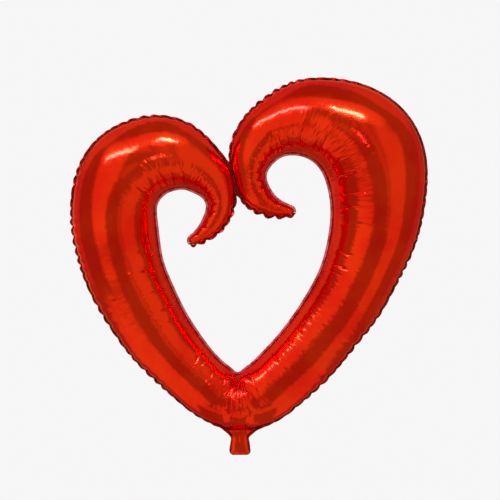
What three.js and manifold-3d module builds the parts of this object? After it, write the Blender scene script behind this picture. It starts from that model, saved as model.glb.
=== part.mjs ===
// Hook-heart foil balloon.
// One long gas-filled tube of metallised film is bent into an open heart whose two
// ends curl inwards over the opening. It is made as two film panels, front and rear,
// fused along every edge. A short filling tail hangs from the neck at the bottom
// point and holds the inlet of a flat self-sealing valve.
// Millimetres, +Z up, the front faces -Y, and the origin is the middle of the neck.

import * as THREE from 'three';
import { ParametricGeometry } from 'three/addons/geometries/ParametricGeometry.js';
import { mergeVertices } from 'three/addons/utils/BufferGeometryUtils.js';
import Module from 'manifold-3d';

const wasm = await Module();
wasm.setup();

// The tube's ribs, each [inner x, inner z, outer x, outer z]: where a line square across
// the tube meets the rim round the opening and the rim round the outside. They run from
// the tip of the left curl, over the left lobe and down the left arm, round the bottom
// point, and up the right arm and over the right lobe to the tip of the right curl.
const ribLines = [
  [-118, 477, -103, 452], [-103, 492, -72, 464], [-90, 513, -40, 488],
  [-81, 538, -14, 531], [-83, 555, -7, 583], [-95, 568, -20, 636],
  [-113, 577, -53, 683], [-130, 583, -103, 731], [-149, 582, -182, 759],
  [-170, 575, -283, 739], [-187, 560, -358, 679], [-195, 538, -394, 592],
  [-192, 501, -398, 510], [-186, 451, -388, 444], [-177, 409, -368, 376],
  [-157, 360, -336, 308], [-123, 291, -275, 214], [-76, 221, -208, 141],
  [-41, 182, -134, 75], [-21, 166, -96, 48],
  [-6, 155, -2, 14],
  [8, 164, 87, 39], [29, 181, 125, 65],
  [93, 249, 212, 143], [141, 315, 275, 219], [180, 383, 328, 287],
  [202, 449, 378, 378], [212, 522, 419, 472], [206, 585, 441, 604],
  [192, 624, 429, 698], [173, 647, 384, 773], [149, 660, 303, 827],
  [126, 664, 208, 847], [106, 662, 122, 837], [88, 653, 47, 793],
  [72, 637, 0, 743], [63, 617, -26, 677], [67, 597, -19, 609],
  [75, 582, 7, 550], [88, 566, 48, 524], [103, 556, 83, 516],
  [120, 548, 113, 518],
];

// Film, seals and the gap left between pieces that touch on the real balloon. The films
// stand a little off the balloon's middle plane, to leave room for the seals and valve.
const filmThickness = 0.8;
const filmInset = 1.0;
const fitGap = 0.3;
const sealWidth = 6;
const sealThickness = 1.4;

// The tube: depth of the bulge as a share of its half width, and its facets
const bulgeRatio = 0.95;
const ribSpacing = 36;
const capAngles = [90, 60, 30];
const arcSteps = 8;

// Neck, with the shoulders that round into it from the outer edge
const neckHalfWidth = 21;
const neckSealWidth = 5;
const neckBottom = 2.2;
const neckPlateTop = 28;
const neckInnerTop = 21;
const shoulderReach = 42;
const shoulderPull = 16;
const bottomZone = 120;

// Tail
const tailTop = -2.8;
const tailBottom = -40;
const tailTopHalfWidth = 22;
const tailBottomHalfWidth = 25;
const tailCorner = 9;

// Valve, two plies of clear film with a printed release strip between them
const valveHalfWidth = 12;
const valveTop = 108;
const inletBottom = -37;
const plyThickness = 0.3;
const plyInset = 0.4;
const stripHalfWidth = 8;
const stripBottom = 5;
const stripTop = 40;
const stripThickness = 0.2;

// Shared weld between the two curls, a slim lens along their line of contact
const weldTop = [-28, 652];
const weldBottom = [-6, 566];
const weldBulge = 8;

const materials = {
  film: { color: 0xd42807, roughness: 0.22, metalness: 0.9 },
  seal: { color: 0x8f0d05, roughness: 0.35, metalness: 0.85 },
  valve: { color: 0xd9dcdd, roughness: 0.4, metalness: 0.0 },
  strip: { color: 0x6f7478, roughness: 0.7, metalness: 0.0 },
};

const balloon = new THREE.Group();
balloon.name = 'hook_heart_foil_balloon';

function addPiece(name, geometry, finish) {
  const mesh = new THREE.Mesh(geometry, new THREE.MeshStandardMaterial(materials[finish]));
  mesh.name = name;
  balloon.add(mesh);
  return mesh;
}

// ---- the tube's ribs ----

// A rib is kept as its middle, its direction outwards and its half width. At the round
// caps, beyond the first and last ribs, it narrows and leans ahead by the cap angle.
function makeRib([innerX, innerZ, outerX, outerZ], capAngle = 0, capSense = 1) {
  const inner = new THREE.Vector2(innerX, innerZ);
  const outer = new THREE.Vector2(outerX, outerZ);
  const outward = outer.clone().sub(inner).normalize();
  return {
    centre: inner.clone().add(outer).multiplyScalar(0.5),
    outward,
    ahead: new THREE.Vector2(-outward.y, outward.x).multiplyScalar(capSense),
    halfWidth: inner.distanceTo(outer) / 2,
    spread: Math.cos(THREE.MathUtils.degToRad(capAngle)),
    lean: Math.sin(THREE.MathUtils.degToRad(capAngle)),
  };
}

// A point of a rib: side runs from -1 at the opening to 1 at the outside of the heart,
// and reach is the distance from the middle line at side 1.
function ribPoint(rib, side, reach) {
  return rib.centre.clone()
    .addScaledVector(rib.outward, side * reach * rib.spread)
    .addScaledVector(rib.ahead, reach * rib.lean);
}

// Second derivatives of the smooth curve through values at rising knots, with both ends
// left free of bending
function bendAtKnots(knots, values) {
  const last = knots.length - 1;
  const ratio = [0];
  const load = [0];
  for (let i = 1; i < last; i += 1) {
    const before = knots[i] - knots[i - 1];
    const after = knots[i + 1] - knots[i];
    const turn = (values[i + 1] - values[i]) / after - (values[i] - values[i - 1]) / before;
    const pivot = 2 * (before + after) - before * ratio[i - 1];
    ratio.push(after / pivot);
    load.push((6 * turn - before * load[i - 1]) / pivot);
  }
  const bend = new Array(last + 1).fill(0);
  for (let i = last - 1; i > 0; i -= 1) {
    bend[i] = load[i] - ratio[i] * bend[i + 1];
  }
  return bend;
}

// Value of that curve at a share of the way from knot i to knot i + 1
function curveAt(knots, values, bend, i, share) {
  const gap = knots[i + 1] - knots[i];
  const rest = 1 - share;
  return rest * values[i] + share * values[i + 1]
    + (gap * gap / 6) * ((rest ** 3 - rest) * bend[i] + (share ** 3 - share) * bend[i + 1]);
}

// Ribs from one tip to the other, spaced along the outside of the heart
function makeRibs() {
  const columns = [0, 1, 2, 3].map((column) => ribLines.map((line) => line[column]));
  const centres = ribLines.map((line) => makeRib(line).centre);
  const knots = [0];
  for (let i = 1; i < ribLines.length; i += 1) {
    knots.push(knots[i - 1] + Math.sqrt(centres[i].distanceTo(centres[i - 1])));
  }
  const bends = columns.map((values) => bendAtKnots(knots, values));
  const made = capAngles.map((angle) => makeRib(ribLines[0], angle, -1));
  for (let i = 0; i < ribLines.length - 1; i += 1) {
    const [[, , startX, startZ], [, , endX, endZ]] = [ribLines[i], ribLines[i + 1]];
    const steps = Math.max(1, Math.round(Math.hypot(endX - startX, endZ - startZ) / ribSpacing));
    for (let step = 0; step < steps; step += 1) {
      made.push(makeRib(columns.map((values, column) => (
        curveAt(knots, values, bends[column], i, step / steps)
      ))));
    }
  }
  made.push(makeRib(ribLines.at(-1)));
  made.push(...capAngles.toReversed().map((angle) => makeRib(ribLines.at(-1), angle, 1)));
  return made;
}

const ribs = makeRibs();

// ---- film panels ----

// Joins a geometry's doubled vertices and drops the triangles that collapse with them,
// so that a shape which closes on itself becomes one closed body.
function closeSurface(geometry) {
  const bare = new THREE.BufferGeometry();
  bare.setAttribute('position', geometry.getAttribute('position'));
  bare.setIndex(geometry.getIndex());
  const merged = mergeVertices(bare, 1e-4);
  const corners = merged.getIndex().array;
  const kept = [];
  for (let i = 0; i < corners.length; i += 3) {
    const [a, b, c] = [corners[i], corners[i + 1], corners[i + 2]];
    if (a !== b && b !== c && c !== a) {
      kept.push(a, b, c);
    }
  }
  merged.setIndex(kept);
  merged.computeVertexNormals();
  return merged;
}

// Half of the tube as a thin shell. The section is a loop: out along the outer skin and
// back along the inner skin. It closes to a point at each cap.
function makeBulge(facing) {
  const loopSteps = 2 * arcSteps + 2;
  const ribSteps = ribs.length - 1;
  const section = (u, v, target) => {
    const rib = ribs[Math.round(u * ribSteps)];
    const turn = facing < 0 ? 1 - v : v;
    const step = Math.round(turn * loopSteps) % loopSteps;
    const onOuterSkin = step <= arcSteps;
    const arcStep = onOuterSkin ? step : loopSteps - 1 - step;
    const angle = Math.PI * (1 - arcStep / arcSteps);
    const reach = rib.halfWidth - sealWidth - (onOuterSkin ? 0 : filmThickness);
    const point = ribPoint(rib, Math.cos(angle), reach);
    const depth = filmInset + bulgeRatio * reach * rib.spread * Math.sin(angle);
    target.set(point.x, facing * depth, point.y);
  };
  return closeSurface(new ParametricGeometry(section, ribSteps, loopSteps));
}

function toSolid(geometry) {
  const surface = closeSurface(geometry);
  return new wasm.Manifold(new wasm.Mesh({
    numProp: 3,
    vertProperties: surface.getAttribute('position').array,
    triVerts: new Uint32Array(surface.getIndex().array),
  }));
}

function toGeometry(solid) {
  const mesh = solid.getMesh();
  const geometry = new THREE.BufferGeometry();
  geometry.setAttribute('position', new THREE.BufferAttribute(mesh.vertProperties, 3));
  geometry.setIndex(new THREE.BufferAttribute(mesh.triVerts, 1));
  geometry.computeVertexNormals();
  return geometry;
}

// A panel is its half of the tube with the flat film of the neck below it.
function addPanel(name, facing) {
  const plateHeight = neckPlateTop - neckBottom;
  const plate = new THREE.BoxGeometry(
    2 * (neckHalfWidth - neckSealWidth - fitGap),
    filmThickness,
    plateHeight,
  );
  plate.translate(0, facing * (filmInset + filmThickness / 2), neckBottom + plateHeight / 2);
  addPiece(name, toGeometry(toSolid(makeBulge(facing)).add(toSolid(plate))), 'film');
}

addPanel('front_panel', -1);
addPanel('rear_panel', 1);

// ---- heat seals ----

// A flat plate cut to an outline in the balloon's own plane
function makePlate(outline, thickness) {
  const plate = new THREE.ExtrudeGeometry(new THREE.Shape(outline), {
    depth: thickness,
    bevelEnabled: false,
  });
  plate.translate(0, 0, -thickness / 2);
  return plate;
}

// Stands such a plate up in the balloon's plane, depth in front of or behind its middle
function addUpright(name, geometry, finish, depth = 0) {
  const mesh = addPiece(name, geometry, finish);
  mesh.rotation.x = Math.PI / 2;
  mesh.position.y = depth;
  return mesh;
}

// One edge of a seal through the given ribs, inset from the rim. At the very tips it
// moves aside by half a gap, so that the two seals which meet there don't touch.
function edgeLine(edgeRibs, side, inset) {
  return edgeRibs.map((rib) => {
    const point = ribPoint(rib, side, rib.halfWidth - inset);
    const aside = rib.spread < 0.01 ? side * fitGap / 2 : 0;
    return point.addScaledVector(rib.outward, aside);
  });
}

const tubeInset = sealWidth - fitGap;

// The seal round the opening, from tip to tip
function makeHoleSeal() {
  const rim = edgeLine(ribs, -1, 0);
  const tubeEdge = edgeLine(ribs, -1, tubeInset);
  return makePlate([...rim, ...tubeEdge.reverse()], sealThickness);
}

// The weld that joins the two curls where they meet
function makeWeld(grow) {
  const top = new THREE.Vector2(weldTop[0], weldTop[1] + grow);
  const bottom = new THREE.Vector2(weldBottom[0], weldBottom[1] - grow);
  const middle = top.clone().add(bottom).multiplyScalar(0.5);
  const sideStep = new THREE.Vector2(top.y - bottom.y, bottom.x - top.x);
  sideStep.setLength(2 * (weldBulge + grow));
  const rightBow = new THREE.QuadraticBezierCurve(top, middle.clone().add(sideStep), bottom);
  const leftBow = new THREE.QuadraticBezierCurve(bottom, middle.clone().sub(sideStep), top);
  const outline = [...rightBow.getPoints(8), ...leftBow.getPoints(8).slice(1, -1)];
  return makePlate(outline, sealThickness + grow);
}

// The neck's share of an outer seal: round the shoulder and down the side of the neck
function neckFoot(hand, rimEnd) {
  const shoulder = new THREE.QuadraticBezierCurve(
    rimEnd,
    new THREE.Vector2(hand * neckHalfWidth, shoulderPull),
    new THREE.Vector2(hand * neckHalfWidth, neckBottom),
  );
  const mouth = hand * (neckHalfWidth - neckSealWidth);
  return [
    ...shoulder.getPoints(8).slice(1),
    new THREE.Vector2(mouth, neckBottom),
    new THREE.Vector2(mouth, neckInnerTop),
  ];
}

addUpright('hole_seal', makeHoleSeal(), 'seal');
addUpright('curl_weld', makeWeld(0), 'seal');

// The outer edge of each half: a curl seal from the tip to the weld, and an outer seal
// from the weld over the lobe and down to the neck
const weldClearance = toSolid(makeWeld(fitGap));
const weldWaist = weldBottom[1] + 0.35 * (weldTop[1] - weldBottom[1]);

for (const [name, hand] of [['left', -1], ['right', 1]]) {
  const fromTip = hand < 0 ? ribs : ribs.toReversed();
  const rim = edgeLine(fromTip, 1, 0);
  const tubeEdge = edgeLine(fromTip, 1, tubeInset);
  const atWeld = rim.findIndex((point) => point.y > weldWaist);
  const atNeck = rim.findIndex((point) => point.y < bottomZone && hand * point.x < shoulderReach);
  const curlBand = [
    ...rim.slice(0, atWeld + 1),
    ...tubeEdge.slice(0, atWeld + 1).reverse(),
  ];
  const outerBand = [
    ...rim.slice(atWeld, atNeck),
    ...neckFoot(hand, rim[atNeck - 1]),
    ...tubeEdge.slice(atWeld, atNeck).reverse(),
  ];
  for (const [part, outline] of [['curl_seal', curlBand], ['outer_seal', outerBand]]) {
    const band = toSolid(makePlate(outline, sealThickness)).subtract(weldClearance);
    addUpright(`${part}_${name}`, toGeometry(band), 'seal');
  }
}

// ---- valve ----

function makeStrip(halfWidth, bottom, top, thickness) {
  return makePlate([
    new THREE.Vector2(-halfWidth, bottom),
    new THREE.Vector2(halfWidth, bottom),
    new THREE.Vector2(halfWidth, top),
    new THREE.Vector2(-halfWidth, top),
  ], thickness);
}

const sides = [['front', -1], ['rear', 1]];
const plyDepth = plyInset + plyThickness / 2;

for (const [side, facing] of sides) {
  const ply = makeStrip(valveHalfWidth, neckBottom, valveTop, plyThickness);
  const inlet = makeStrip(valveHalfWidth, inletBottom, tailTop, plyThickness);
  addUpright(`valve_${side}_ply`, ply, 'valve', facing * plyDepth);
  addUpright(`valve_inlet_${side}`, inlet, 'valve', facing * plyDepth);
}

const releaseStrip = makeStrip(stripHalfWidth, stripBottom, stripTop, stripThickness);
addUpright('valve_release_strip', releaseStrip, 'strip');

// ---- tail ----

// Half of the tail's outline, from its top edge down the side, which flares a little,
// round the corner to the bottom edge
function tailSide(hand, inset) {
  const top = hand * (tailTopHalfWidth - inset);
  const flare = hand * (tailBottomHalfWidth - inset);
  const side = new THREE.QuadraticBezierCurve(
    new THREE.Vector2(top, tailTop),
    new THREE.Vector2(top, tailBottom / 2),
    new THREE.Vector2(flare, tailBottom + tailCorner),
  );
  const corner = new THREE.QuadraticBezierCurve(
    new THREE.Vector2(flare, tailBottom + tailCorner),
    new THREE.Vector2(flare, tailBottom),
    new THREE.Vector2(flare - hand * tailCorner, tailBottom),
  );
  return { side: side.getPoints(5), corner: corner.getPoints(4).slice(1) };
}

function makeTailPly() {
  const [left, right] = [-1, 1].map((hand) => tailSide(hand, 0));
  const down = [...left.side, ...left.corner];
  const up = [...right.side, ...right.corner].reverse();
  return makePlate([...down, ...up], filmThickness);
}

function makeTailSeal(hand) {
  const outer = tailSide(hand, 0).side;
  const inner = tailSide(hand, neckSealWidth).side;
  return makePlate([...outer, ...inner.reverse()], sealThickness);
}

for (const [side, facing] of sides) {
  addUpright(`tail_${side}_film`, makeTailPly(), 'film', facing * (filmInset + filmThickness / 2));
}
addUpright('tail_seal_left', makeTailSeal(-1), 'seal');
addUpright('tail_seal_right', makeTailSeal(1), 'seal');

export default balloon;
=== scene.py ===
# Hook-heart foil balloon: two films of red metallised foil, heat-sealed along every
# edge, filled with gas, with a flat filling tail that folds at the neck.
# Metres, +Z up, the front faces -Y, the origin is the middle of the neck.
import math
import bmesh
import bpy
import numpy as np
from mathutils import Matrix, Vector


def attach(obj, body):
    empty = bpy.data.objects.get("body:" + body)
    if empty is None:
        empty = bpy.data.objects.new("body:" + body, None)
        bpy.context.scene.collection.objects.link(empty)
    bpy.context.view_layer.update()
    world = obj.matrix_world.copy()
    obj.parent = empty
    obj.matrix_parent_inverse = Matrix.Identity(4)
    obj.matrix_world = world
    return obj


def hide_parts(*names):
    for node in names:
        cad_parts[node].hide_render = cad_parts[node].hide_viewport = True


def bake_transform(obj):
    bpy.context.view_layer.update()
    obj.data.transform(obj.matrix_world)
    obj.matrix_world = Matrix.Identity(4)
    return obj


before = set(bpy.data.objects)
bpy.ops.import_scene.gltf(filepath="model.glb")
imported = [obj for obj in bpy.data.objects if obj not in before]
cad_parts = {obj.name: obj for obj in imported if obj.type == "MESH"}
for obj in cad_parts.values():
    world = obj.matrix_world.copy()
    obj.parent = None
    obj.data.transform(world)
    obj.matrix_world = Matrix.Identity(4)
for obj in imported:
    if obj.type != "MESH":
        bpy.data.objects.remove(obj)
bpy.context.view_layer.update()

# the camera comes first: a long lens, square on to the front
camera = {"distance": 4.6, "aim": (0.0235, 0.0, 0.4418), "viewWidth": 1.175, "sensor": 36.0}


def placeCamera():
    data = bpy.data.cameras.new("camera")
    data.sensor_width = camera["sensor"]
    data.lens = camera["sensor"] * camera["distance"] / camera["viewWidth"]
    data.clip_end = 60
    held = bpy.data.objects.new("camera", data)
    held.location = Vector(camera["aim"]) - Vector((0, camera["distance"], 0))
    held.rotation_euler = (math.radians(90), 0, 0)
    bpy.context.scene.collection.objects.link(held)
    bpy.context.scene.camera = held


placeCamera()
print("camera placed")

# Ribs across the tube: inner x, inner z, outer x, outer z, then how strongly the outer
# seam ruffles there. From the left curl's tip over the left lobe, down the left arm,
# round the bottom point, and up the right arm and lobe to the right curl's tip.
ribLines = [
    (-0.118, 0.477, -0.103, 0.452, 1.0), (-0.103, 0.492, -0.072, 0.464, 1.0),
    (-0.090, 0.513, -0.040, 0.488, 1.0), (-0.081, 0.538, -0.014, 0.531, 0.7),
    (-0.083, 0.555, -0.007, 0.583, 0.1), (-0.095, 0.568, -0.020, 0.636, 0.1),
    (-0.113, 0.577, -0.053, 0.683, 0.2), (-0.130, 0.583, -0.103, 0.731, 0.6),
    (-0.149, 0.582, -0.182, 0.759, 0.8), (-0.170, 0.575, -0.283, 0.739, 0.5),
    (-0.187, 0.560, -0.358, 0.679, 0.2), (-0.195, 0.538, -0.394, 0.592, 0.6),
    (-0.192, 0.501, -0.398, 0.510, 0.9), (-0.186, 0.451, -0.388, 0.444, 0.9),
    (-0.177, 0.409, -0.368, 0.376, 0.7), (-0.157, 0.360, -0.336, 0.308, 0.6),
    (-0.123, 0.291, -0.275, 0.214, 0.7), (-0.076, 0.221, -0.208, 0.141, 0.7),
    (-0.041, 0.182, -0.134, 0.075, 0.5), (-0.021, 0.166, -0.096, 0.048, 0.3),
    (-0.006, 0.155, -0.002, 0.014, 0.2),
    (0.008, 0.164, 0.087, 0.039, 0.4), (0.029, 0.181, 0.125, 0.065, 0.5),
    (0.093, 0.249, 0.212, 0.143, 0.7), (0.141, 0.315, 0.275, 0.219, 0.7),
    (0.180, 0.383, 0.328, 0.287, 0.6), (0.202, 0.449, 0.378, 0.378, 0.6),
    (0.212, 0.522, 0.419, 0.472, 0.6), (0.206, 0.585, 0.441, 0.604, 0.2),
    (0.192, 0.624, 0.429, 0.698, 0.05), (0.173, 0.647, 0.384, 0.773, 0.05),
    (0.149, 0.660, 0.303, 0.827, 0.1), (0.126, 0.664, 0.208, 0.847, 0.3),
    (0.106, 0.662, 0.122, 0.837, 0.8), (0.088, 0.653, 0.047, 0.793, 1.0),
    (0.072, 0.637, 0.000, 0.743, 0.9), (0.063, 0.617, -0.026, 0.677, 0.3),
    (0.067, 0.597, -0.019, 0.609, 0.1), (0.075, 0.582, 0.007, 0.550, 0.5),
    (0.088, 0.566, 0.048, 0.524, 1.0), (0.103, 0.556, 0.083, 0.516, 1.0),
    (0.120, 0.548, 0.113, 0.518, 1.0),
]

# seals, and the neck and tail below the bottom point
rim = {
    "sealWidth": 0.006,
    "shoulderReach": 0.046,  # half the width over which the outline rounds into the neck
    "shoulderPull": 0.005,
    "bottomZone": 0.12,
    "neckHalf": 0.021,
    "neckBottom": -0.0012,
    "tailTopHalf": 0.022,
    "tailTop": -0.0075,
    "tailBottomHalf": 0.025,
    "tailBottom": -0.040,
    "tailCorner": 0.0125,
    "tailSeal": 0.0045,
    "mouthLip": 0.0004,
    "flatBelow": 0.018,  # the tube ends here and the flat neck goes on
    "neckSeal": 0.005,
    "neckEvening": 17,  # steps over which the seal's width is evened out
    "steps": 6001,
    "neckSteps": 400,
    "capSteps": 60,
    "capFrom": 88,  # degrees from the rib: at 90 its columns would shrink to nothing
}

# ruffles of the outer seam
ruffle = {
    "length": 0.025,
    "sway": 0.0026,  # to the front and back
    "scallop": 0.0025,  # in and out, in the balloon's own plane
    "curlScallop": 1.6,  # times as deep on the curls
    "curlRibs": 4,
    "drifts": ((2.4, 0.12, 0), (1.5, 0.052, 1), (0.8, 0.019, 0)),  # so no two ruffles are alike
    "least": 0.32,
    "unevenLength": 0.029,
    "onNeck": 0.3,
}


def smoothThrough(knots, values, at):
    # the smooth curve through values at rising knots, with both ends free of bending
    gaps = np.diff(knots)
    slopes = np.diff(values, axis=0) / gaps[:, None]
    system = np.eye(len(knots))
    load = np.zeros_like(values)
    for i in range(1, len(knots) - 1):
        system[i, i - 1:i + 2] = gaps[i - 1], 2 * (gaps[i - 1] + gaps[i]), gaps[i]
        load[i] = 6 * (slopes[i] - slopes[i - 1])
    bend = np.linalg.solve(system, load)
    i = np.clip(np.searchsorted(knots, at) - 1, 0, len(gaps) - 1)
    share = ((at - knots[i]) / gaps[i])[:, None]
    rest = 1 - share
    sag = (gaps[i] ** 2 / 6)[:, None]
    return (rest * values[i] + share * values[i + 1]
            + sag * ((rest ** 3 - rest) * bend[i] + (share ** 3 - share) * bend[i + 1]))


def lengthsAlong(points):
    return np.concatenate([[0], np.cumsum(np.linalg.norm(np.diff(points, axis=0), axis=1))])


def evenOut(values, width):
    return np.convolve(np.pad(values, width // 2, mode="edge"), np.ones(width) / width, mode="valid")


def unitRows(vectors):
    return vectors / np.linalg.norm(vectors, axis=1)[:, None]


def bowTo(start, pull, end, steps):
    share = np.linspace(0, 1, steps)[:, None]
    start, pull, end = np.array(start), np.array(pull), np.array(end)
    return (1 - share) ** 2 * start + 2 * share * (1 - share) * pull + share ** 2 * end


def neckSide(hand, shoulderEnd):
    # from the shoulder down one side of the neck and tail to the middle of the mouth
    neckFoot = (hand * rim["neckHalf"], rim["neckBottom"])
    cornerTop = (hand * rim["tailBottomHalf"], rim["tailBottom"] + rim["tailCorner"])
    corner = (hand * rim["tailBottomHalf"], rim["tailBottom"])
    cornerFoot = (hand * (rim["tailBottomHalf"] - rim["tailCorner"]), rim["tailBottom"])
    tailTop = (hand * rim["tailTopHalf"], rim["tailTop"])
    middle = (0.0, rim["tailBottom"])
    parts = [
        (bowTo(shoulderEnd, (hand * rim["neckHalf"], rim["shoulderPull"]), neckFoot, 60), "neck"),
        (bowTo(neckFoot, tailTop, cornerTop, 60), "tail"),
        (bowTo(cornerTop, corner, cornerFoot, 30), "corner"),
        (bowTo(cornerFoot, cornerFoot, middle, 30), "mouth"),
    ]
    insetAt = {"neck": (rim["sealWidth"], rim["neckSeal"]), "tail": (rim["neckSeal"], rim["tailSeal"]),
               "corner": (rim["tailSeal"], rim["mouthLip"]), "mouth": (rim["mouthLip"],) * 2}
    points = np.concatenate([p[1:] for p, _ in parts])
    insets = np.concatenate([np.linspace(*insetAt[name], len(p))[1:] for p, name in parts])
    return points, insets


def capRows(row, sense):
    # the round end beyond the first or last rib, from all but the very tip to the rib
    angle = np.radians(np.linspace(rim["capFrom"], 0, rim["capSteps"], endpoint=False))[:, None]
    inner, outer = np.array(row[:2]), np.array(row[2:4])
    outward = (outer - inner) / np.linalg.norm(outer - inner)
    ahead = sense * np.array([-outward[1], outward[0]])
    reach = np.linalg.norm(outer - inner) / 2
    made = {}
    for key, size in (("Rim", reach), ("Tube", reach - rim["sealWidth"])):
        forward = ahead * np.sin(angle) * size
        sideways = outward * np.cos(angle) * size
        made["inner" + key] = (inner + outer) / 2 + forward - sideways
        made["outer" + key] = (inner + outer) / 2 + forward + sideways
    made["rib"] = np.full(rim["capSteps"], 0.0 if sense < 0 else len(ribLines) - 1.0)
    made["cap"] = np.cos(angle[:, 0])
    return made


def buildOutline():
    # both rims of the balloon and both edges of its tube, every half millimetre or so
    table = np.array(ribLines)
    centres = (table[:, :2] + table[:, 2:4]) / 2
    gaps = np.linalg.norm(np.diff(centres, axis=0), axis=1)
    knots = np.concatenate([[0], np.cumsum(np.sqrt(gaps))])
    at = np.linspace(0, knots[-1], rim["steps"])
    rows = smoothThrough(knots, table[:, :4], at)
    outwards = unitRows(rows[:, 2:] - rows[:, :2])
    main = {
        "innerRim": rows[:, :2],
        "outerRim": rows[:, 2:],
        "innerTube": rows[:, :2] + outwards * rim["sealWidth"],
        "outerTube": rows[:, 2:] - outwards * rim["sealWidth"],
        "rib": np.interp(at, knots, np.arange(len(table))),
        "cap": np.ones(len(at)),
    }
    low = np.nonzero((np.abs(rows[:, 2]) < rim["shoulderReach"]) & (rows[:, 3] < rim["bottomZone"]))[0]
    leftSide, leftInset = neckSide(-1, rows[low[0], 2:])
    rightSide, rightInset = neckSide(1, rows[low[-1], 2:])
    path = np.concatenate([leftSide, rightSide[::-1][1:]])
    inset = np.concatenate([leftInset, rightInset[::-1][1:]])
    along = lengthsAlong(path)
    even = np.linspace(0, along[-1], rim["neckSteps"])
    path = np.stack([np.interp(even, along, path[:, k]) for k in (0, 1)], 1)
    inset = np.interp(even, along, inset)
    inset = evenOut(inset, rim["neckEvening"])
    heading = unitRows(np.gradient(path, axis=0))
    inwards = np.stack([-heading[:, 1], heading[:, 0]], 1)
    neckAt = np.linspace(at[low[0]], at[low[-1]], len(path))
    neckRows = smoothThrough(knots, table[:, :4], neckAt)
    neckOutwards = unitRows(neckRows[:, 2:] - neckRows[:, :2])
    neck = {
        "innerRim": neckRows[:, :2],
        "outerRim": path,
        "innerTube": neckRows[:, :2] + neckOutwards * rim["sealWidth"],
        "outerTube": path + inwards * inset[:, None],
        "rib": np.interp(neckAt, knots, np.arange(len(table))),
        "cap": np.ones(len(path)),
    }
    firstCap = capRows(ribLines[0], -1)
    lastCap = {key: value[::-1] for key, value in capRows(ribLines[-1], 1).items()}
    runs = [firstCap, {k: v[:low[0]] for k, v in main.items()}, neck,
            {k: v[low[-1] + 1:] for k, v in main.items()}, lastCap]
    made = {key: np.concatenate([run[key] for run in runs]) for key in main}
    made["isNeck"] = np.concatenate([np.full(len(run["rib"]), float(run is neck)) for run in runs])
    return made


def addRuffles(path):
    # the seam's own wave: sway is along Y, scallop is outwards in the balloon's plane
    run = lengthsAlong(path["outerRim"])
    strength = np.interp(path["rib"], np.arange(len(ribLines)), np.array(ribLines)[:, 4])
    strength = strength * (1 - (1 - ruffle["onNeck"]) * path["isNeck"]) * np.clip(path["cap"] * 1.2, 0, 1)
    phase = 2 * math.pi * run / ruffle["length"]
    for size, length, start in ruffle["drifts"]:
        phase = phase + size * np.sin(run / length + start)
    middle = (1 + ruffle["least"]) / 2
    uneven = middle + (1 - middle) * np.sin(run / ruffle["unevenLength"] + 2 + np.sin(run / 0.011))
    fromTip = np.minimum(path["rib"], len(ribLines) - 1 - path["rib"])
    curl = 1 + (ruffle["curlScallop"] - 1) * np.clip(1 - fromTip / ruffle["curlRibs"], 0, 1)
    path["run"] = run
    path["strength"] = strength
    path["sway"] = ruffle["sway"] * strength * uneven * np.sin(phase)
    path["scallop"] = ruffle["scallop"] * curl * strength * uneven * (
        2 * np.abs(np.cos(phase / 2)) - 1.27)
    outward = unitRows(path["outerRim"] - path["outerTube"] + 1e-9)
    path["outward"] = outward
    return path


outline = addRuffles(buildOutline())


def pickColumns(count, innerShare):
    # even steps along the outline, measured mostly along its outside
    measure = ((1 - innerShare) * lengthsAlong(outline["outerTube"])
               + innerShare * lengthsAlong(outline["innerTube"]))
    steps = np.linspace(0, measure[-1], count + 1)
    picked = {}
    for key, value in outline.items():
        columns = value if value.ndim > 1 else value[:, None]
        spread = np.stack([np.interp(steps, measure, c) for c in columns.T], 1)
        picked[key] = spread if value.ndim > 1 else spread[:, 0]
    return picked


print("outline ready,", len(outline["run"]), "steps,", round(outline["run"][-1], 3), "m outside")


def gridPiece(name, columns, rows, place, uvOf):
    # a sheet of quads: place and uvOf take every vertex's column and row number
    bm = bmesh.new()
    bmesh.ops.create_grid(bm, x_segments=columns, y_segments=rows, size=1.0)
    flat = np.array([v.co[:] for v in bm.verts])
    u = np.rint((flat[:, 0] + 1) / 2 * columns).astype(int)
    v = np.rint((flat[:, 1] + 1) / 2 * rows).astype(int)
    for vert, spot in zip(bm.verts, place(u, v)):
        vert.co = spot
    layer = bm.loops.layers.uv.new("alongAndAcross")
    uv = uvOf(u, v)
    bm.verts.index_update()
    for face in bm.faces:
        face.smooth = True
        for loop in face.loops:
            loop[layer].uv = uv[loop.vert.index]
    mesh = bpy.data.meshes.new(name)
    bm.to_mesh(mesh)
    bm.free()
    piece = bpy.data.objects.new(name, mesh)
    bpy.context.scene.collection.objects.link(piece)
    return piece, u, v


def giveWall(piece, thickness, sharpAngle=1.1):
    # a closed thin wall from an open sheet: the sheet stays outside, a copy lines it
    bm = bmesh.new()
    bm.from_mesh(piece.data)
    bm.normal_update()
    lining = bm.faces[:]
    liningVerts = bm.verts[:]
    inwards = [-thickness * v.normal for v in liningVerts]
    bmesh.ops.extrude_face_region(bm, geom=lining, use_keep_orig=True)
    for vert, step in zip(liningVerts, inwards):
        vert.co += step
    for edge in bm.edges:
        if edge.calc_face_angle(0) > sharpAngle:
            edge.smooth = False
    bm.to_mesh(piece.data)
    bm.free()


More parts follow.
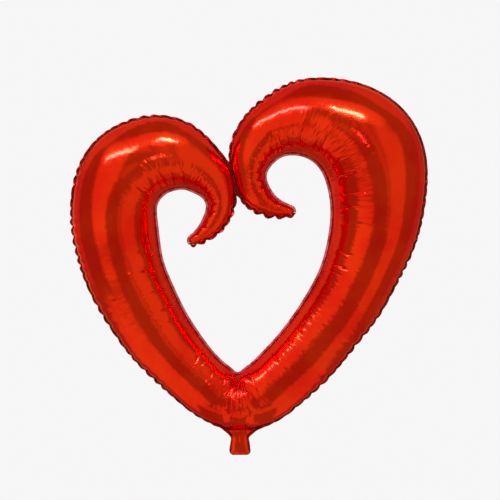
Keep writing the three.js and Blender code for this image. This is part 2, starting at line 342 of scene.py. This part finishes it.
# the two films
film = {
    "columns": 860,
    "rows": 40,
    "innerShare": 0.15,
    "bulge": 0.95,  # depth of the bulge over the tube's half width
    "seamGap": 0.0005,
    "gather": 1.003,  # length of the flat film over the balloon's own length, everywhere
    "outerGather": 0.10,  # more of it at the outer seam, where that ruffles
    "innerGather": 0.012,  # and along the opening
    "mostGrowth": 0.3,
    "evening": 9,  # columns averaged over
    "roomyRadius": 0.020,  # a thinner tube has less spare length
    "roomyEvening": 13,
    "ruffleFrom": 0.6,  # the ruffles reach this far in from the outer seam, as a cosine
    "noise": 0.0003,
    "seed": 3,
    "wall": 0.0003,
    "freeAbove": 0.036,  # the film below is held more and more, wholly at the fold
    "neckRise": 0.085,  # the height over which the body swells out of the flat neck
}
columnPath = pickColumns(film["columns"], film["innerShare"])


def filmSizes():
    # each column's span, the part of it that is flat neck or tail, and the tube's radius
    reach = columnPath["outerTube"] - columnPath["innerTube"]
    span = np.linalg.norm(reach, axis=1)
    drop = np.maximum(columnPath["innerTube"][:, 1] - columnPath["outerTube"][:, 1], 1e-4)
    below = np.clip((rim["flatBelow"] - columnPath["outerTube"][:, 1]) / drop, 0, 1)
    flatPart = span * below * columnPath["isNeck"]
    radius = (span - flatPart) / 2
    return span, flatPart, radius, reach / np.maximum(span, 1e-6)[:, None]


span, flatPart, radius, across = filmSizes()
flatWidth = math.pi * radius + flatPart


def filmGrowth():
    # The film is cut flat, so at each row its length along the tube differs from the path
    # it follows once it is round. This is that spare length, as a factor of the path.
    inner = np.abs(np.gradient(lengthsAlong(columnPath["innerTube"])))
    outer = np.abs(np.gradient(lengthsAlong(columnPath["outerTube"])))
    inner, outer = [evenOut(x, film["evening"]) for x in (inner, outer)]
    share = np.linspace(0, 1, film["rows"] + 1)[None, :]
    cut = inner[:, None] * (1 - share) + outer[:, None] * share
    path = inner[:, None] + (outer - inner)[:, None] * (1 - np.cos(math.pi * share)) / 2
    spare = (film["outerGather"] * columnPath["strength"][:, None] * share ** 8
             + film["innerGather"] * (1 - share) ** 5)
    growth = np.clip(cut / path * film["gather"] + spare, 1.0, 1 + film["mostGrowth"])
    roomy = np.clip(radius / film["roomyRadius"], 0, 1) * (columnPath["isNeck"] < 0.5)
    return 1 + (growth - 1) * evenOut(roomy, film["roomyEvening"])[:, None]


growth = filmGrowth()
# rows are closer where the film will grow, and the start is flatter by the same amount
rowStep = 2 / (growth[:, 1:] + growth[:, :-1])
rowShare = np.concatenate([np.zeros((len(span), 1)), np.cumsum(rowStep, axis=1)], axis=1)
startLength = rowShare[:, -1] / film["rows"]
rowShare = rowShare / rowShare[:, -1:]
startBulge = np.clip(film["bulge"] * (2 * startLength - 1), 0.5, 1)


tailSkin = {
    "puff": 0.0026,
    "fold": 0.0019,
    "sideRoom": 0.007,  # how far in from its side seals the film lifts off
    "mouthRoom": 0.006,
    "mouthGap": 0.4,  # share of the lift that is left at the mouth
    "shoulders": ((0.02, 0.03), (0.05, 0.06)),  # height, and half width there, above the neck
}


def tailDepth(x, z):
    # how far the flat film of the neck and tail stands off the middle, folds included
    heights = [rim["tailBottom"], rim["neckBottom"]] + [h for h, _ in tailSkin["shoulders"]]
    halves = [rim["tailBottomHalf"], rim["neckHalf"]] + [w for _, w in tailSkin["shoulders"]]
    half = np.interp(z, heights, halves) - rim["neckSeal"]
    fromMouth = (z - rim["tailBottom"]) / tailSkin["mouthRoom"] + tailSkin["mouthGap"]
    room = np.clip(np.minimum((half - np.abs(x)) / tailSkin["sideRoom"], fromMouth), 0, 1)
    turn = 2 * math.pi
    lines = np.sin(turn * (x / 0.0085 + 0.35 * np.sin(z / 0.009 + 1)))
    creases = np.sin(turn * (x / 0.023 - z / 0.031) + 2.0 * np.sin(z / 0.006))
    dents = np.sin(turn * (x / 0.013 + z / 0.017)) * np.sin(turn * (z / 0.012 - x / 0.029) + 1)
    folds = 0.45 * lines + 0.3 * creases + 0.35 * dents
    return room * (tailSkin["puff"] + tailSkin["fold"] * folds)


def filmPlace(side):
    rng = np.random.default_rng(film["seed"])

    def place(u, v):
        t = rowShare[u, v] * flatWidth[u]
        r = np.maximum(radius[u], 1e-6)
        onTube = t <= math.pi * r
        angle = math.pi - np.minimum(t / r, math.pi)
        chord = np.where(onTube, r * (1 + np.cos(angle)), 2 * r + t - math.pi * r)
        xz = columnPath["innerTube"][u] + across[u] * chord[:, None]
        nearSeam = np.clip((np.cos(angle) - film["ruffleFrom"]) / (1 - film["ruffleFrom"]), 0, 1) ** 2
        nearSeam = np.where(flatPart[u] > 0, (v == film["rows"]) * 1.0, nearSeam)
        xz = xz + columnPath["outward"][u] * (columnPath["scallop"][u] * nearSeam)[:, None]
        rise = np.clip((xz[:, 1] - rim["neckBottom"]) / film["neckRise"], 0, 1)
        beside = np.clip((np.abs(xz[:, 0]) - rim["neckHalf"]) / film["neckRise"], 0, 1)
        rise, beside = [x * x * (3 - 2 * x) for x in (rise, beside)]
        rise = rise + (1 - rise) * beside
        bulge = startBulge[u] * r * np.sin(angle) * rise
        depth = np.where(onTube, bulge, 0) + np.where(flatPart[u] > 0, tailDepth(xz[:, 0], xz[:, 1]), 0)
        depth = film["seamGap"] + depth
        y = side * depth + columnPath["sway"][u] * nearSeam
        y = y + side * rng.normal(0, film["noise"], len(y)) * np.where(onTube, np.sin(angle), 0)
        return np.stack([xz[:, 0], y, xz[:, 1]], 1)

    return place


def makeFilm(name, side):
    piece, u, v = gridPiece(
        name, film["columns"], film["rows"], filmPlace(side),
        lambda u, v: np.stack([columnPath["run"][u], v / film["rows"]], 1))
    if side < 0:
        piece.data.flip_normals()
    spots = np.empty(len(u) * 3)
    piece.data.vertices.foreach_get("co", spots)
    held = np.clip((film["freeAbove"] - spots.reshape(-1, 3)[:, 2]) / film["freeAbove"], 0, 1)
    held[(v == 0) | (v == film["rows"]) | (columnPath["cap"][u] < 0.99)] = 1
    slack = (growth[u, v] - 1) / film["mostGrowth"]
    for name, weights in (("sealed", held), ("taut", 1 - slack)):
        weighted = piece.vertex_groups.new(name=name)
        for index in np.nonzero(weights > 0)[0].tolist():
            weighted.add([index], float(weights[index]), "REPLACE")
    return piece


gas = {
    "frames": 16,
    "quality": 5,
    "mass": 0.03,
    "pressure": 300.0,
    "tension": 20.0,
    "shear": 10.0,
    "bending": 0.005,
    "damping": 1.0,
    "bendDamping": 0.5,
}


def fillWithGas(films):
    # the flat-cut film is blown up inside its sealed edges, so it puckers as real foil does
    scene = bpy.context.scene
    for piece in films:
        cloth = piece.modifiers.new("gas", "CLOTH")
        made = cloth.settings
        made.quality = gas["quality"]
        made.mass = gas["mass"]
        made.air_damping = 1.0
        made.tension_stiffness = gas["tension"]
        made.compression_stiffness = gas["tension"]
        made.shear_stiffness = gas["shear"]
        made.bending_stiffness = gas["bending"]
        made.tension_damping = gas["damping"]
        made.compression_damping = gas["damping"]
        made.shear_damping = gas["damping"]
        made.bending_damping = gas["bendDamping"]
        made.use_pressure = True
        made.uniform_pressure_force = gas["pressure"]
        made.vertex_group_mass = "sealed"
        made.vertex_group_shrink = "taut"
        made.shrink_min = -film["mostGrowth"]
        made.shrink_max = 0
        made.effector_weights.gravity = 0
        cloth.collision_settings.use_collision = False
        cloth.collision_settings.use_self_collision = False
        cloth.point_cache.frame_start = 1
        cloth.point_cache.frame_end = gas["frames"]
    for step in range(1, gas["frames"] + 1):
        scene.frame_set(step)
    graph = bpy.context.evaluated_depsgraph_get()
    filled = [bpy.data.meshes.new_from_object(piece.evaluated_get(graph), preserve_all_data_layers=True,
                                              depsgraph=graph) for piece in films]
    for piece, mesh in zip(films, filled):
        piece.modifiers.clear()
        piece.data = mesh
        mesh.name = piece.name
    scene.frame_set(1)


frontFilm = makeFilm("front_film", -1)
rearFilm = makeFilm("rear_film", 1)
fillWithGas([frontFilm, rearFilm])
for piece in (frontFilm, rearFilm):
    piece.vertex_groups.clear()
    giveWall(piece, film["wall"])
print("films made")

# the sealed bands along the edges
band = {"columns": 1500, "holeColumns": 520, "rows": 4, "wall": 0.0009, "flare": 0.6, "crimp": 0.00035}


def makeBand(name, first, last, columns, base, edge, sway, scallop):
    # a ribbon from the tube's edge out to the rim, between two steps of the outline
    steps = np.linspace(first, last, columns + 1)
    stepNumbers = np.arange(len(outline["run"]))

    def along(values):
        values = values if values.ndim > 1 else values[:, None]
        return np.stack([np.interp(steps, stepNumbers, c) for c in values.T], 1)

    basePoint, edgePoint, out = along(outline[base]), along(outline[edge]), along(outline["outward"])
    swayAt, scallopAt, run = along(sway)[:, 0], along(scallop)[:, 0], along(outline["run"])[:, 0]

    def place(u, v):
        w = v / band["rows"]
        xz = basePoint[u] * (1 - w)[:, None] + edgePoint[u] * w[:, None]
        xz = xz + out[u] * (scallopAt[u] * (1 + 0.4 * w))[:, None]
        y = swayAt[u] * (1 + band["flare"] * w) + band["crimp"] * w * np.sin(run[u] / 0.0011)
        return np.stack([xz[:, 0], y + band["wall"] / 2, xz[:, 1]], 1)

    piece, _, _ = gridPiece(name, columns, band["rows"], place,
                            lambda u, v: np.stack([run[u], v / band["rows"]], 1))
    giveWall(piece, band["wall"])
    return piece


def makeBands():
    x, z = outline["outerRim"].T
    mouth = rim["tailBottomHalf"] - rim["tailCorner"]
    flat = (outline["isNeck"] > 0.5) & (z < rim["tailBottom"] + 0.0002) & (np.abs(x) < mouth)
    mouthSteps = np.nonzero(flat)[0]
    last = len(x) - 1
    still = np.zeros(last + 1)
    left = makeBand("left_edge_seal", 0, mouthSteps[0], band["columns"],
                    "outerTube", "outerRim", outline["sway"], outline["scallop"])
    right = makeBand("right_edge_seal", mouthSteps[-1], last, band["columns"],
                     "outerTube", "outerRim", outline["sway"], outline["scallop"])
    hole = makeBand("opening_seal", 0, last, band["holeColumns"],
                    "innerTube", "innerRim", still, still)
    return left, right, hole


leftSeal, rightSeal, holeSeal = makeBands()
print("seals made")

# studio: a pale cove all round, soft boxes standing in it and a few strong strips
studio = {
    "pale": (0.922, 0.922, 0.922, 1),
    "floorDrop": 0.30,
    "floorSize": 9.0,
    "floorGlow": 0.40,
    "around": 0.44,
    "boxEdge": 0.26,  # how softly a soft box ends, as a share of its half size
    "boxSquareness": 4,  # 2 is an ellipse, more is squarer
}
softBoxes = [
    # azimuth, elevation, half width and half height in degrees, roll, brightness
    (-44, 22, 23, 46, 14, 0.94), (0, 58, 44, 15, 0, 0.96), (50, 0, 22, 44, 0, 0.80),
    (-46, -42, 34, 16, 12, 0.90), (44, -47, 28, 13, -14, 0.80), (-8, -62, 34, 9, 0, 0.78),
    (-104, -46, 22, 16, 0, 0.88), (104, -56, 28, 14, 0, 0.84), (22, 12, 5, 30, 8, 0.66),
    (-144, 44, 34, 26, 0, 0.78), (150, 46, 34, 26, 0, 0.70), (-152, 0, 26, 14, 0, 0.74),
    (-6, 14, 12, 9, 0, 0.62), (-120, 12, 14, 38, 0, 0.70), (128, 0, 12, 30, 0, 0.60),
]
lampTint = (0.36, 0.30, 1.0)  # cool tubes, so their glints come back white from red foil
lamps = [
    # name, azimuth, elevation and roll seen from the balloon, distance, width, height, power
    ("topStrip", 17, 52, -14, 2.6, 0.95, 0.20, 75),
    ("slantStrip", -45, 43, 24, 2.6, 1.5, 0.22, 80),
    ("spark", 10, 20, 24, 2.8, 0.10, 0.50, 5),
]


def addNode(tree, kind, label=None, **values):
    # a shader node, with its plain properties or its sockets' values set by name
    node = tree.nodes.new("ShaderNode" + kind)
    if label:
        node.label = label
    for key, value in values.items():
        if hasattr(node, key):
            setattr(node, key, value)
        else:
            node.inputs[key.replace("_", " ")].default_value = value
    return node


def join(tree, *pairs):
    for source, target in pairs:
        tree.links.new(source, target)


def newGroup(name, ins, outs):
    group = bpy.data.node_groups.new(name, "ShaderNodeTree")
    for label, kind, value in ins:
        socket = group.interface.new_socket(name=label, in_out="INPUT", socket_type="NodeSocket" + kind)
        socket.default_value = value
    for label, kind in outs:
        group.interface.new_socket(name=label, in_out="OUTPUT", socket_type="NodeSocket" + kind)
    return group, group.nodes.new("NodeGroupInput"), group.nodes.new("NodeGroupOutput")


def paleSurface():
    # evenly pale to the camera, and dimmer as the balloon sees it
    mat = bpy.data.materials.new("pale_cove")
    mat.use_nodes = True
    tree = mat.node_tree
    tree.nodes.clear()
    path = addNode(tree, "LightPath")
    seen = addNode(tree, "Emission", Color=studio["pale"], Strength=1.0)
    cast = addNode(tree, "Emission", Color=(1, 1, 1, 1), Strength=studio["floorGlow"])
    pick = addNode(tree, "MixShader")
    out = addNode(tree, "OutputMaterial")
    join(tree, (path.outputs["Is Camera Ray"], pick.inputs[0]), (cast.outputs[0], pick.inputs[1]),
         (seen.outputs[0], pick.inputs[2]), (pick.outputs[0], out.inputs[0]))
    return mat


def makeFloor():
    bm = bmesh.new()
    bmesh.ops.create_circle(bm, cap_ends=True, segments=96, radius=studio["floorSize"])
    bmesh.ops.translate(bm, verts=bm.verts[:], vec=(0, 0, -studio["floorDrop"]))
    mesh = bpy.data.meshes.new("studio_floor")
    bm.to_mesh(mesh)
    bm.free()
    floor = bpy.data.objects.new("studio_floor", mesh)
    mesh.materials.append(paleSurface())
    floor.visible_glossy = False  # the soft boxes below it show in the foil
    bpy.context.scene.collection.objects.link(floor)


def facing(azimuth, elevation, roll=0):
    # the direction of a thing in the room, seen from the balloon, and its own side and up
    a, e, r = math.radians(azimuth), math.radians(elevation), math.radians(roll)
    aim = Vector((math.sin(a) * math.cos(e), -math.cos(a) * math.cos(e), math.sin(e)))
    level = Vector((math.cos(a), math.sin(a), 0))
    upright = level.cross(aim)
    if upright.z < 0:
        upright = -upright
    side = level * math.cos(r) + upright * math.sin(r)
    return aim, side, upright * math.cos(r) - level * math.sin(r)


def softBoxGroup():
    # one soft box: Mask is 1 inside it and fades over its edge, and 0 behind the balloon
    group, given, made = newGroup(
        "soft_box",
        [("Direction", "Vector", (0, 0, 0)), ("Aim", "Vector", (0, 0, 0)), ("Side", "Vector", (0, 0, 0)),
         ("Up", "Vector", (0, 0, 0)), ("Half Width", "Float", 0.5), ("Half Height", "Float", 0.5),
         ("Edge", "Float", 0.2)],
        [("Mask", "Float")])
    powers = []
    for axis, size in (("Side", "Half Width"), ("Up", "Half Height")):
        dot = addNode(group, "VectorMath", operation="DOT_PRODUCT")
        share = addNode(group, "Math", operation="DIVIDE")
        howFar = addNode(group, "Math", operation="ABSOLUTE")
        power = addNode(group, "Math", operation="POWER")
        power.inputs[1].default_value = studio["boxSquareness"]
        join(group, (given.outputs["Direction"], dot.inputs[0]), (given.outputs[axis], dot.inputs[1]),
             (dot.outputs["Value"], share.inputs[0]), (given.outputs[size], share.inputs[1]),
             (share.outputs[0], howFar.inputs[0]), (howFar.outputs[0], power.inputs[0]))
        powers.append(power)
    both = addNode(group, "Math", operation="ADD")
    root = addNode(group, "Math", operation="POWER")
    root.inputs[1].default_value = 1 / studio["boxSquareness"]
    near = addNode(group, "Math", operation="SUBTRACT")
    near.inputs[0].default_value = 1
    far = addNode(group, "Math", operation="ADD")
    far.inputs[0].default_value = 1
    fade = addNode(group, "MapRange", interpolation_type="SMOOTHSTEP", To_Min=1.0, To_Max=0.0)
    front = addNode(group, "VectorMath", operation="DOT_PRODUCT")
    ahead = addNode(group, "Math", operation="GREATER_THAN")
    ahead.inputs[1].default_value = 0
    kept = addNode(group, "Math", operation="MULTIPLY")
    join(group, (powers[0].outputs[0], both.inputs[0]), (powers[1].outputs[0], both.inputs[1]),
         (both.outputs[0], root.inputs[0]), (root.outputs[0], fade.inputs["Value"]),
         (given.outputs["Edge"], near.inputs[1]), (given.outputs["Edge"], far.inputs[1]),
         (near.outputs[0], fade.inputs["From Min"]), (far.outputs[0], fade.inputs["From Max"]),
         (given.outputs["Direction"], front.inputs[0]), (given.outputs["Aim"], front.inputs[1]),
         (front.outputs["Value"], ahead.inputs[0]), (fade.outputs["Result"], kept.inputs[0]),
         (ahead.outputs[0], kept.inputs[1]), (kept.outputs[0], made.inputs["Mask"]))
    return group


def makeSurround():
    # the room: evenly pale to the camera; the balloon sees a dimmer cove and the soft boxes
    world = bpy.data.worlds.new("studio")
    bpy.context.scene.world = world
    world.use_nodes = True
    tree = world.node_tree
    tree.nodes.clear()
    coords = addNode(tree, "TexCoord")
    boxShape = softBoxGroup()
    level = addNode(tree, "Value", "the cove itself")
    level.outputs[0].default_value = studio["around"]
    for azimuth, elevation, halfWidth, halfHeight, roll, brightness in softBoxes:
        aim, side, up = facing(azimuth, elevation, roll)
        box = addNode(tree, "Group")
        box.node_tree = boxShape
        box.inputs["Aim"].default_value = aim
        box.inputs["Side"].default_value = side
        box.inputs["Up"].default_value = up
        box.inputs["Half Width"].default_value = math.sin(math.radians(halfWidth))
        box.inputs["Half Height"].default_value = math.sin(math.radians(halfHeight))
        box.inputs["Edge"].default_value = studio["boxEdge"]
        glow = addNode(tree, "Math", operation="MULTIPLY")
        glow.inputs[1].default_value = brightness
        brighter = addNode(tree, "Math", operation="MAXIMUM")
        join(tree, (coords.outputs["Generated"], box.inputs["Direction"]),
             (box.outputs["Mask"], glow.inputs[0]), (glow.outputs[0], brighter.inputs[0]),
             (level.outputs[0], brighter.inputs[1]))
        level = brighter
    path = addNode(tree, "LightPath")
    seen = addNode(tree, "Background", Color=studio["pale"], Strength=1.0)
    cast = addNode(tree, "Background", Color=(1, 1, 1, 1))
    pick = addNode(tree, "MixShader")
    out = addNode(tree, "OutputWorld")
    join(tree, (level.outputs[0], cast.inputs["Strength"]),
         (path.outputs["Is Camera Ray"], pick.inputs[0]), (cast.outputs[0], pick.inputs[1]),
         (seen.outputs[0], pick.inputs[2]), (pick.outputs[0], out.inputs[0]))


def hangLamps():
    aim = Vector(camera["aim"])
    for name, azimuth, elevation, roll, distance, width, height, power in lamps:
        towards, side, up = facing(azimuth, elevation, roll)
        light = bpy.data.lights.new(name, "AREA")
        light.shape = "RECTANGLE"
        light.size = width
        light.size_y = height
        light.energy = power
        light.color = lampTint
        light.cycles.max_bounces = 0  # glints only, not seen again in the foil opposite
        lamp = bpy.data.objects.new(name, light)
        lamp.location = aim + distance * towards
        turn = Matrix((side, towards.cross(side), towards)).transposed()
        lamp.rotation_euler = turn.to_euler()
        lamp.visible_camera = False
        bpy.context.scene.collection.objects.link(lamp)


makeFloor()
makeSurround()
hangLamps()
bpy.context.scene.view_settings.view_transform = "Standard"
print("studio lit")

# finishes
foilLook = {
    "bright": (0.84, 0.027, 0.0009, 1),
    "deep": (0.77, 0.013, 0.0005, 1),
    "edge": (1.0, 0.42, 0.02, 1),
    "smooth": 0.09,
    "rough": 0.17,
    "coat": 0.09,
    "coatRough": 0.12,
    "creaseDepth": 0.0004,
}
# the heat seals' colour, far darker than the film's, is painted shade: the dark an edge-on seal band
# reflects
shadedSealLook = {
    "bright": (0.34, 0.010, 0.004, 1),
    "deep": (0.12, 0.002, 0.001, 1),
    "edge": (1.0, 0.42, 0.32, 1),
    "smooth": 0.22,
    "rough": 0.38,
    "coat": 0.1,
    "coatRough": 0.2,
    "creaseDepth": 0.0005,
}
# the opening seal's pink colour is a painted reflection: the pale sheen the white room gives the red film
# at a grazing angle along the hole
sheenedOpeningLook = {
    "bright": (0.86, 0.20, 0.16, 1),
    "deep": (0.55, 0.06, 0.045, 1),
    "edge": (1.0, 0.6, 0.55, 1),
    "smooth": 0.25,
    "rough": 0.4,
    "coat": 0.3,
    "coatRough": 0.2,
    "creaseDepth": 0.0003,
}
valveLook = {
    "deep": (0.72, 0.75, 0.76, 1),
    "bright": (0.86, 0.88, 0.88, 1),
    "smooth": 0.22,
    "rough": 0.45,
    "see": 0.6,
}
printLook = {
    "deep": (0.16, 0.17, 0.18, 1),
    "bright": (0.24, 0.25, 0.26, 1),
    "smooth": 0.55,
    "rough": 0.75,
    "see": 0.0,
}


def filmGrain():
    # the small life of thin metallised film: slow drift of tone, fine stretch lines and
    # tiny puckers; Tone and Sheen vary over the surface, Crease is a height
    group, given, made = newGroup(
        "film_grain",
        [("Drift Scale", "Float", 9.0), ("Line Scale", "Float", 220.0), ("Pucker Scale", "Float", 90.0)],
        [("Tone", "Float"), ("Sheen", "Float"), ("Crease", "Float")])
    coords = addNode(group, "TexCoord")
    drift = addNode(group, "TexNoise", "slow drift", Detail=3.0, Roughness=0.55)
    pucker = addNode(group, "TexNoise", "puckers", Detail=4.0, Roughness=0.6, Distortion=0.6)
    stretch = addNode(group, "Mapping", "stretch lines run across the tube", Scale=(1.0, 0.05, 1.0))
    lines = addNode(group, "TexNoise", "stretch lines", Detail=2.0, Roughness=0.5)
    across = addNode(group, "SeparateXYZ")
    nearOpening = addNode(group, "MapRange", "pleats by the opening", interpolation_type="SMOOTHSTEP",
                          From_Min=0.03, From_Max=0.42, To_Min=3.2, To_Max=0.35)
    scaled = addNode(group, "Math", operation="MULTIPLY")
    both = addNode(group, "Math", operation="ADD")
    join(group,
         (coords.outputs["Object"], drift.inputs["Vector"]),
         (given.outputs["Drift Scale"], drift.inputs["Scale"]),
         (coords.outputs["Object"], pucker.inputs["Vector"]),
         (given.outputs["Pucker Scale"], pucker.inputs["Scale"]),
         (coords.outputs["UV"], stretch.inputs["Vector"]), (stretch.outputs[0], lines.inputs["Vector"]),
         (given.outputs["Line Scale"], lines.inputs["Scale"]),
         (drift.outputs["Fac"], made.inputs["Tone"]),
         (pucker.outputs["Fac"], made.inputs["Sheen"]),
         (coords.outputs["UV"], across.inputs[0]), (across.outputs["Y"], nearOpening.inputs["Value"]),
         (lines.outputs["Fac"], scaled.inputs[0]), (nearOpening.outputs["Result"], scaled.inputs[1]),
         (scaled.outputs[0], both.inputs[0]), (pucker.outputs["Fac"], both.inputs[1]),
         (both.outputs[0], made.inputs["Crease"]))
    return group


grain = filmGrain()


def toneAndSheen(tree, look, low, high):
    # a ramp from the deep to the bright colour, and a range from smooth to rough
    tone = addNode(tree, "ValToRGB")
    tone.color_ramp.elements[0].position = low
    tone.color_ramp.elements[0].color = look["deep"]
    tone.color_ramp.elements[1].position = high
    tone.color_ramp.elements[1].color = look["bright"]
    sheen = addNode(tree, "MapRange", From_Min=0.35, From_Max=0.65)
    sheen.inputs["To Min"].default_value = look["smooth"]
    sheen.inputs["To Max"].default_value = look["rough"]
    shader = tree.nodes["Principled BSDF"]
    join(tree, (tone.outputs["Color"], shader.inputs["Base Color"]),
         (sheen.outputs["Result"], shader.inputs["Roughness"]))
    return tone, sheen, shader


def filmMaterial(name, look, lineScale=220.0, puckerScale=90.0, driftScale=9.0):
    mat = bpy.data.materials.new(name)
    mat.use_nodes = True
    tree = mat.node_tree
    own = addNode(tree, "Group")
    own.node_tree = grain
    own.inputs["Drift Scale"].default_value = driftScale
    own.inputs["Line Scale"].default_value = lineScale
    own.inputs["Pucker Scale"].default_value = puckerScale
    tone, sheen, shader = toneAndSheen(tree, look, 0.38, 0.56)
    bump = addNode(tree, "Bump", Strength=0.5, Distance=look["creaseDepth"])
    shader.inputs["Metallic"].default_value = 1.0
    shader.inputs["Specular Tint"].default_value = look["edge"]
    shader.inputs["Coat Weight"].default_value = look["coat"]
    shader.inputs["Coat Roughness"].default_value = look["coatRough"]
    join(tree, (own.outputs["Tone"], tone.inputs[0]), (own.outputs["Sheen"], sheen.inputs["Value"]),
         (own.outputs["Crease"], bump.inputs["Height"]), (bump.outputs[0], shader.inputs["Normal"]))
    return mat


def valveMaterial(name, look):
    # the valve's clear film and its print
    mat = bpy.data.materials.new(name)
    mat.use_nodes = True
    tree = mat.node_tree
    coords = addNode(tree, "TexCoord")
    cloud = addNode(tree, "TexNoise", Scale=60.0, Detail=3.0)
    tone, sheen, shader = toneAndSheen(tree, look, 0.4, 0.6)
    bump = addNode(tree, "Bump", Strength=0.3, Distance=0.0002)
    shader.inputs["Transmission Weight"].default_value = look["see"]
    shader.inputs["IOR"].default_value = 1.45
    join(tree, (coords.outputs["Object"], cloud.inputs["Vector"]), (cloud.outputs["Fac"], tone.inputs[0]),
         (cloud.outputs["Fac"], sheen.inputs["Value"]), (cloud.outputs["Fac"], bump.inputs["Height"]),
         (bump.outputs[0], shader.inputs["Normal"]))
    return mat


sealGrain = {"lineScale": 900.0, "puckerScale": 300.0, "driftScale": 60.0}  # finer than the film's
redFoil = filmMaterial("red_foil", foilLook)
# the edge seals and the curl weld carry painted shade in their darker colour
shadedRedSeal = filmMaterial("red_heat_seal_painted_shade", shadedSealLook, **sealGrain)
# the opening seal's pink is a painted reflection
sheenedOpeningSeal = filmMaterial("opening_seal_painted_reflection", sheenedOpeningLook, **sealGrain)
clearFilm = valveMaterial("clear_valve_film", valveLook)
releaseInk = valveMaterial("release_print", printLook)
print("finishes made")


def finish(piece, mat, body=None):
    piece.data.materials.clear()
    piece.data.materials.append(mat)
    if body:
        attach(piece, body)


def dressNode(name, mat):
    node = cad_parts[name]
    if not node.material_slots:
        node.data.materials.append(mat)
    for held in node.material_slots:
        held.material = mat


finish(frontFilm, redFoil)
finish(rearFilm, redFoil)
finish(leftSeal, shadedRedSeal)
finish(rightSeal, shadedRedSeal)
finish(holeSeal, sheenedOpeningSeal, "heart")
for piece in (frontFilm, rearFilm, leftSeal, rightSeal):
    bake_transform(piece)
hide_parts("front_panel", "tail_front_film")
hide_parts("rear_panel", "tail_rear_film")
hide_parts("curl_seal_left", "outer_seal_left", "tail_seal_left")
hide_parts("curl_seal_right", "outer_seal_right", "tail_seal_right")
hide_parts("hole_seal")
dressNode("curl_weld", shadedRedSeal)
for name in ("valve_front_ply", "valve_rear_ply", "valve_inlet_front", "valve_inlet_rear"):
    dressNode(name, clearFilm)
dressNode("valve_release_strip", releaseInk)
